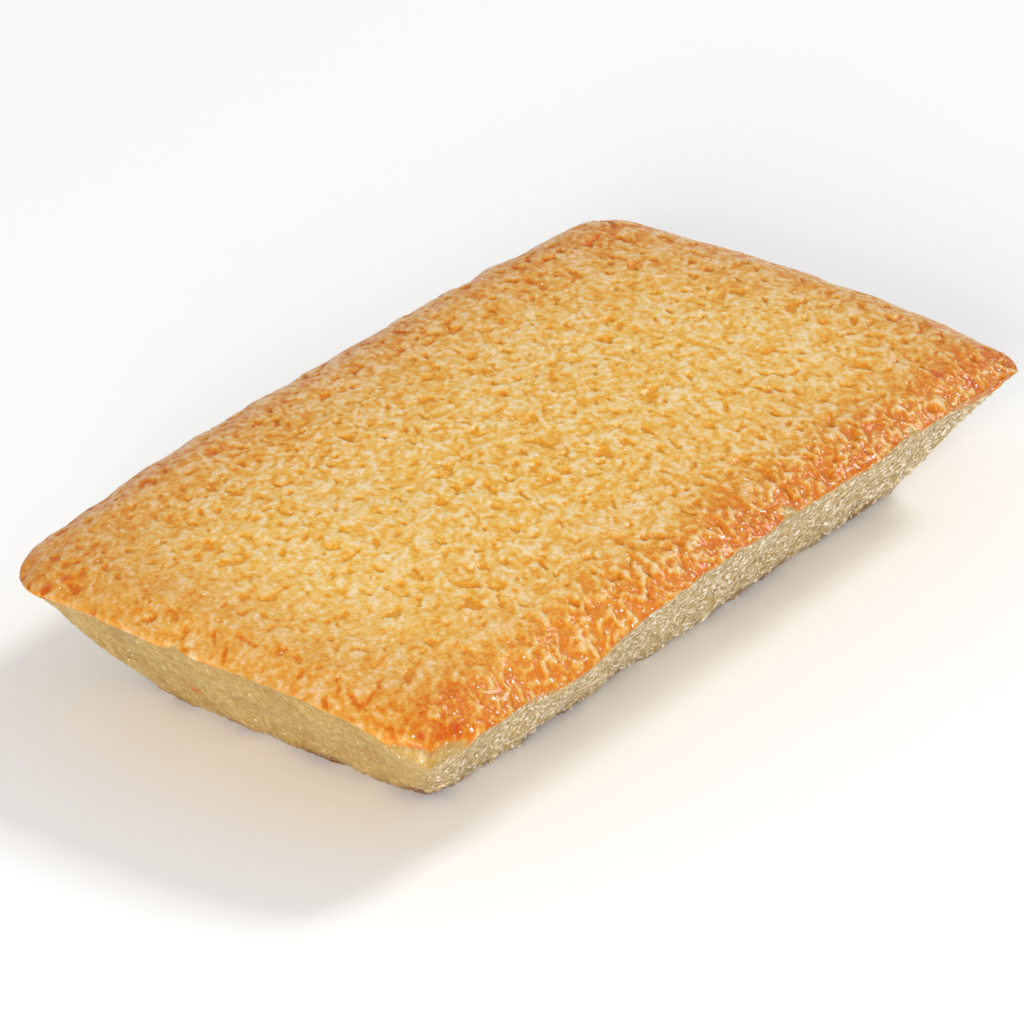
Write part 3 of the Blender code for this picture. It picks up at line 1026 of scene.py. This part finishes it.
def skin_and_crumb(tree, place):
    """Brown skin or pale crumb, with sugar grains, scorches, painted glints and painted shadow."""
    share = ramp(tree, attribute(tree, "crust_share"), (0.25, 0.0), (0.75, 1.0))
    colour = mix_colour(tree, share, crumb_colour(tree, place), crust_colour(tree, place))
    sugar = noise_of(tree, place, CRYSTAL_SIZE)
    sugar = shifted(tree, sugar, attribute(tree, "sugary_and_glinting"), CRYSTALS_MORE)
    sugar = ramp(tree, sugar, (0.82, 0.0), (0.88, 0.95))
    burnt_and_shaded = mix_colour(tree, share, linear(BURNT_AND_SHADED_CRUMB), linear(BURNT_CRUST))
    scorched_and_shadowed = ramp(tree, attribute(tree, "scorched_and_shadowed"), (0.15, 0.0), (0.9, 0.85))
    colour = mix_colour(tree, scorched_and_shadowed, colour, burnt_and_shaded)
    colour = mix_colour(tree, sugar, colour, linear(SUGAR_AND_GLINT_WHITE))
    grains = ramp(tree, attribute(tree, "grains"), (0.2, 0.0), (0.9, 0.75))
    return mix_colour(tree, grains, colour, linear(GRAIN_AND_GLINT_WHITE))


print(f"painted sugar crystals measure {CRYSTAL_SIZE} mm")

# %% [markdown]
# ### The two materials
#
# Butter and baked sugar have an index of refraction near 1.45. The sponge itself reflects less
# than a solid block of either, because it is full of air, so its specular level is low, and a
# thin coat stands for the film of butter that gives the small, sharp glints. Light goes a few
# tenths of a millimetre into the sponge, red furthest, which softens the pebbles' shadows.

# %% Materials
ALMOND_SPONGE = {
    "IOR": 1.45,
    "Subsurface Weight": 0.18,
    "Subsurface Radius": (1.0, 0.7, 0.4),
    "Subsurface Scale": 0.6 * MM,
    "Coat Weight": 0.14,
}


def sponge(name, finish_of_place):
    """A material of almond sponge. Its finish gives the settings that differ."""
    material = new_material(name)
    tree = material.node_tree
    place = add(tree, "ShaderNodeTexCoord").outputs["Object"]
    links = {"Base Color": skin_and_crumb(tree, place), **ALMOND_SPONGE}
    links |= finish_of_place(tree, place)
    shader = add(tree, "ShaderNodeBsdfPrincipled", links)
    add(tree, "ShaderNodeOutputMaterial", {"Surface": shader.outputs[0]})
    return material


def fried_skin(tree, place):
    """Satin, with sharp glints: butter leaves the browned rim glossier than the dry middle."""
    fine = noise_of(tree, place, 0.30, 2)
    bump = add(tree, "ShaderNodeBump", {"Height": fine, "Distance": 0.15 * MM, "Strength": 1.0})
    dull = shifted(tree, noise_of(tree, place, 1.5, 2), attribute(tree, "browning"), -0.35)
    roughness = ramp(tree, dull, (0.1, 0.28), (0.65, 0.6))
    gloss = {"Specular IOR Level": 0.16, "Coat Roughness": 0.12}
    return {"Roughness": roughness, "Normal": bump.outputs[0], **gloss}


def pulled_crumb(tree, place):
    """Grainy and a little greasy: the tin's butter fills the pores, and the ridges are dry."""
    fine = noise_of(tree, drawn_down(tree, place), 0.45, 3)
    bump = add(tree, "ShaderNodeBump", {"Height": fine, "Distance": 0.10 * MM, "Strength": 0.9})
    roughness = ramp(tree, fine, (0.4, 0.38), (0.6, 0.55))
    gloss = {"Specular IOR Level": 0.25, "Coat Roughness": 0.15}
    return {"Roughness": roughness, "Normal": bump.outputs[0], **gloss}


crust.data.materials.append(sponge("browned_almond_crust", fried_skin))
crumb.data.materials.append(sponge("pale_almond_crumb", pulled_crumb))
for piece in (crust, crumb):
    print(piece.name, "is made of", piece.data.materials[0].name)

# %% [markdown]
# ## Each piece stands for the solid
#
# The cake has one body and one solid. Both pieces ride on that body and together take the
# solid's place, in its own material slot.

# %% Ride and replace
for piece in (crust, crumb):
    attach(piece, "root")
    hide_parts("financier_cake")
    print(piece.name, "replaces the smooth cake")

# %% [markdown]
# ## The studio
#
# Food is shown on a plain pale floor in soft light. One large lamp at the back right draws the
# pebbles' shadows towards us, a weaker one on the left keeps the near wall bright, and the white
# surroundings fill in the rest. The lamps are placed by angles round the cake, like the camera.


# %% Floor
FLOOR_SIZE = 4  # metres


def make_floor():
    bpy.ops.mesh.primitive_plane_add(size=FLOOR_SIZE, location=(0, 0, low.z))
    floor = bpy.context.object
    floor.name = "floor"
    material = new_material("pale_card")
    tree = material.node_tree
    links = {"Base Color": linear("#fbfbfa"), "Roughness": 0.9}
    shader = add(tree, "ShaderNodeBsdfPrincipled", links)
    add(tree, "ShaderNodeOutputMaterial", {"Surface": shader.outputs[0]})
    floor.data.materials.append(material)


make_floor()
print("the floor is", FLOOR_SIZE, "m wide")


# %% Lights
def place_round(name, data, aim, azimuth, elevation, distance):
    """A lamp or camera at this distance from its aim, at these angles, that faces the aim."""
    a, e = np.radians([azimuth, elevation])
    back = Vector((np.sin(a) * np.cos(e), -np.cos(a) * np.cos(e), np.sin(e)))
    thing = bpy.data.objects.new(name, data)
    thing.location = aim + back * distance
    thing.rotation_euler = (-back).to_track_quat("-Z", "Y").to_euler()
    bpy.context.scene.collection.objects.link(thing)
    return thing


def square_lamp(name, azimuth, elevation, distance, width, watts):
    light = bpy.data.lights.new(name, "AREA")
    light.size = width
    light.energy = watts
    place_round(name, light, Vector((0, 0, 0)), azimuth, elevation, distance)
    print(f"{name}: {watts} W from {distance} m away")


square_lamp("key", 78, 40, 1.6, 0.32, 10.5)
square_lamp("fill", -66, 18, 0.9, 0.3, 5.6)

# %% White surroundings
SURROUNDINGS = 0.56

world = bpy.data.worlds.new("studio")
world.use_nodes = True
world.node_tree.nodes["Background"].inputs["Color"].default_value = linear("#ffffff")
world.node_tree.nodes["Background"].inputs["Strength"].default_value = SURROUNDINGS
bpy.context.scene.world = world
bpy.context.scene.view_settings.view_transform = "Standard"
print("the surroundings have a strength of", SURROUNDINGS)

# %% Camera
VIEW_AZIMUTH, VIEW_ELEVATION = -52.43, 28.77  # degrees, from the front left
VIEW_DISTANCE = 0.5817  # metres
LENS = 216.8  # mm, a long lens that keeps the far end almost as large as the near one
AIM = Vector((0.28 * MM, 1.45 * MM, 7.0 * MM))

lens = bpy.data.cameras.new("camera")
lens.lens = LENS
camera = place_round("camera", lens, AIM, VIEW_AZIMUTH, VIEW_ELEVATION, VIEW_DISTANCE)
bpy.context.scene.camera = camera
print("the camera stands at", [round(x / MM) for x in camera.location], "mm")
